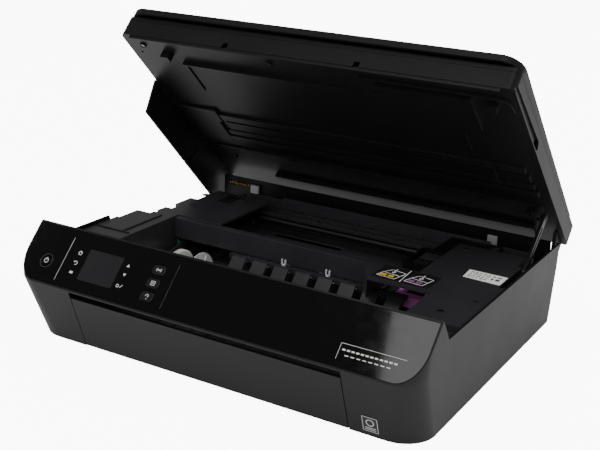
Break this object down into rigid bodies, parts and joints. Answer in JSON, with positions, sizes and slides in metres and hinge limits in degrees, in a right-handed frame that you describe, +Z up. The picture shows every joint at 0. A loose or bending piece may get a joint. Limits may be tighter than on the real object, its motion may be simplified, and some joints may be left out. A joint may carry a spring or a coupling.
{
  "type": "all-in-one inkjet printer",
  "caption": "Low dark grey all-in-one inkjet printer with its flatbed scanner unit propped open over the cartridge carriage, and a sloping glossy control panel.",
  "frame": {"origin": "middle of the printer's own box at rest, on the surface it stands on", "axes": "+X to the printer's right as its panel is faced, +Y to its back, +Z up"},
  "size_m": [0.443, 0.4062, 0.3162],
  "materials": {
    "casing": "fine-grained dark grey moulding",
    "panel": "polished black overlay",
    "screen": "unlit display window",
    "inner": "plain dark moulding",
    "black": "black moulding",
    "rubber": "matt rubber",
    "steel": "ground steel",
    "brass": "drawn wire",
    "white": "natural white acetal",
    "grey": "mid grey moulding",
    "magenta": "magenta clip",
    "board": "green circuit board",
    "glass": "clear float glass"
  },
  "bodies": {
    "body": {"base_pan": "inner", "outer_casing": "casing", "foot_front_left": "rubber", "foot_front_right": "rubber", "foot_rear_left": "rubber", "foot_rear_right": "rubber", "panel_overlay": "panel", "display_window": "screen", "left_deck": "casing", "paper_path_cover": "inner", "right_deck": "black", "left_stop_tab": "grey", "right_stop_tab": "grey", "left_side_frame": "inner", "right_side_frame": "inner", "carriage_rail": "inner", "platen": "black", "roller_cover": "black", "guide_rod": "steel", "star_wheel_bar": "black", "main_board": "board", "feed_motor": "steel", "carriage_motor": "steel", "power_inlet": "black", "usb_port": "steel", "service_station": "inner", "hinge_spring": "brass", "carriage_belt": "rubber"},
    "scanner_unit": {"scanner_housing": "casing", "side_skirt": "casing", "hinge_arm": "casing", "scanner_bezel": "casing", "scanner_glass": "glass"},
    "scan_carriage": {"scan_bar": "black"},
    "cover": {"document_cover": "casing", "backing_pad": "white"},
    "prop": {"prop_arm": "black"},
    "power_key": {"power_button": "panel"},
    "key_a": {"wireless_key": "casing"},
    "key_b": {"web_print_key": "casing"},
    "key_c": {"help_key": "casing"},
    "cartridge_carriage": {"carriage": "black", "colour_cartridge": "black", "black_cartridge": "black", "colour_clip": "magenta", "black_clip": "grey"},
    "feed_shaft": {"feed_roller": "steel", "feed_gear": "white"},
    "output_shaft": {"output_roller": "rubber", "output_gear": "white", "encoder_disc": "white"},
    "idler_shaft": {"idler_gear": "white"},
    "pinion_shaft": {"motor_pinion": "brass"},
    "idler_pulley_shaft": {"idler_pulley": "steel"},
    "drive_pulley_shaft": {"drive_pulley": "steel"},
    "tray": {"paper_tray": "inner", "output_tray": "inner"},
    "door": {"tray_door": "casing"},
    "guide_left": {"width_guide_left": "grey"},
    "guide_right": {"width_guide_right": "grey"}
  },
  "joints": [
    {"name": "lid_swing", "type": "hinge", "parent": "body", "child": "scanner_unit", "pos_m": [0, 0.15894, 0.0595], "axis": [1, 0, 0], "range_deg": [0, 43]},
    {"name": "scan_travel", "type": "slide", "parent": "scanner_unit", "child": "scan_carriage", "axis": [1, 0, 0], "range_m": [0, 0.34]},
    {"name": "cover_lift", "type": "hinge", "parent": "scanner_unit", "child": "cover", "pos_m": [0, 0.20026, 0.10587], "axis": [-1, 0, 0], "range_deg": [0, 80]},
    {"name": "prop_turn", "type": "hinge", "parent": "scanner_unit", "child": "prop", "pos_m": [0.211, 0.12243, 0.13032], "axis": [1, 0, 0], "range_deg": [-90, 5]},
    {"name": "power_press", "type": "slide", "parent": "body", "child": "power_key", "axis": [0, 0.7254, -0.6883], "range_m": [0, 0.0008], "stiffness_N_per_m": 1500, "springref_m": -0.0003},
    {"name": "key_a_press", "type": "slide", "parent": "body", "child": "key_a", "axis": [0, 0.7254, -0.6883], "range_m": [0, 0.0008], "stiffness_N_per_m": 1500, "springref_m": -0.0003},
    {"name": "key_b_press", "type": "slide", "parent": "body", "child": "key_b", "axis": [0, 0.7254, -0.6883], "range_m": [0, 0.0008], "stiffness_N_per_m": 1500, "springref_m": -0.0003},
    {"name": "key_c_press", "type": "slide", "parent": "body", "child": "key_c", "axis": [0, 0.7254, -0.6883], "range_m": [0, 0.0008], "stiffness_N_per_m": 1500, "springref_m": -0.0003},
    {"name": "carriage_travel", "type": "slide", "parent": "body", "child": "cartridge_carriage", "axis": [-1, 0, 0], "range_m": [0, 0.235]},
    {"name": "idler_pulley_spin", "type": "hinge", "parent": "body", "child": "idler_pulley_shaft", "pos_m": [-0.135, 0.10494, 0.077], "axis": [0, 0, 1], "continuous": true},
    {"name": "drive_pulley_spin", "type": "hinge", "parent": "body", "child": "drive_pulley_shaft", "pos_m": [0.188, 0.10494, 0.077], "axis": [0, 0, 1], "continuous": true},
    {"name": "feed_spin", "type": "hinge", "parent": "body", "child": "feed_shaft", "pos_m": [0, 0.08614, 0.04736], "axis": [1, 0, 0], "continuous": true},
    {"name": "output_spin", "type": "hinge", "parent": "body", "child": "output_shaft", "pos_m": [0, -0.02506, 0.034], "axis": [1, 0, 0], "continuous": true},
    {"name": "idler_spin", "type": "hinge", "parent": "body", "child": "idler_shaft", "pos_m": [-0.147, 0.03054, 0.04068], "axis": [1, 0, 0], "continuous": true},
    {"name": "pinion_spin", "type": "hinge", "parent": "body", "child": "pinion_shaft", "pos_m": [-0.147, 0.0614, 0.01851], "axis": [1, 0, 0], "continuous": true},
    {"name": "tray_travel", "type": "slide", "parent": "body", "child": "tray", "axis": [0, -1, 0], "range_m": [0, 0.11]},
    {"name": "door_drop", "type": "hinge", "parent": "tray", "child": "door", "pos_m": [0, -0.17402, 0.00624], "axis": [1, 0, 0], "range_deg": [0, 68]},
    {"name": "left_guide_travel", "type": "slide", "parent": "tray", "child": "guide_left", "axis": [1, 0, 0], "range_m": [0, 0.05]},
    {"name": "right_guide_travel", "type": "slide", "parent": "tray", "child": "guide_right", "axis": [-1, 0, 0], "range_m": [0, 0.05]}
  ],
  "couplings": [
    {"joint": "prop_turn", "follows": "lid_swing", "ratio": -1.956},
    {"joint": "idler_pulley_spin", "follows": "carriage_travel", "rad_per_m": -153.85},
    {"joint": "drive_pulley_spin", "follows": "carriage_travel", "rad_per_m": -153.85},
    {"joint": "output_spin", "follows": "feed_spin", "ratio": 1},
    {"joint": "idler_spin", "follows": "feed_spin", "ratio": -0.75},
    {"joint": "pinion_spin", "follows": "feed_spin", "ratio": 4},
    {"joint": "right_guide_travel", "follows": "left_guide_travel", "ratio": 1}
  ]
}
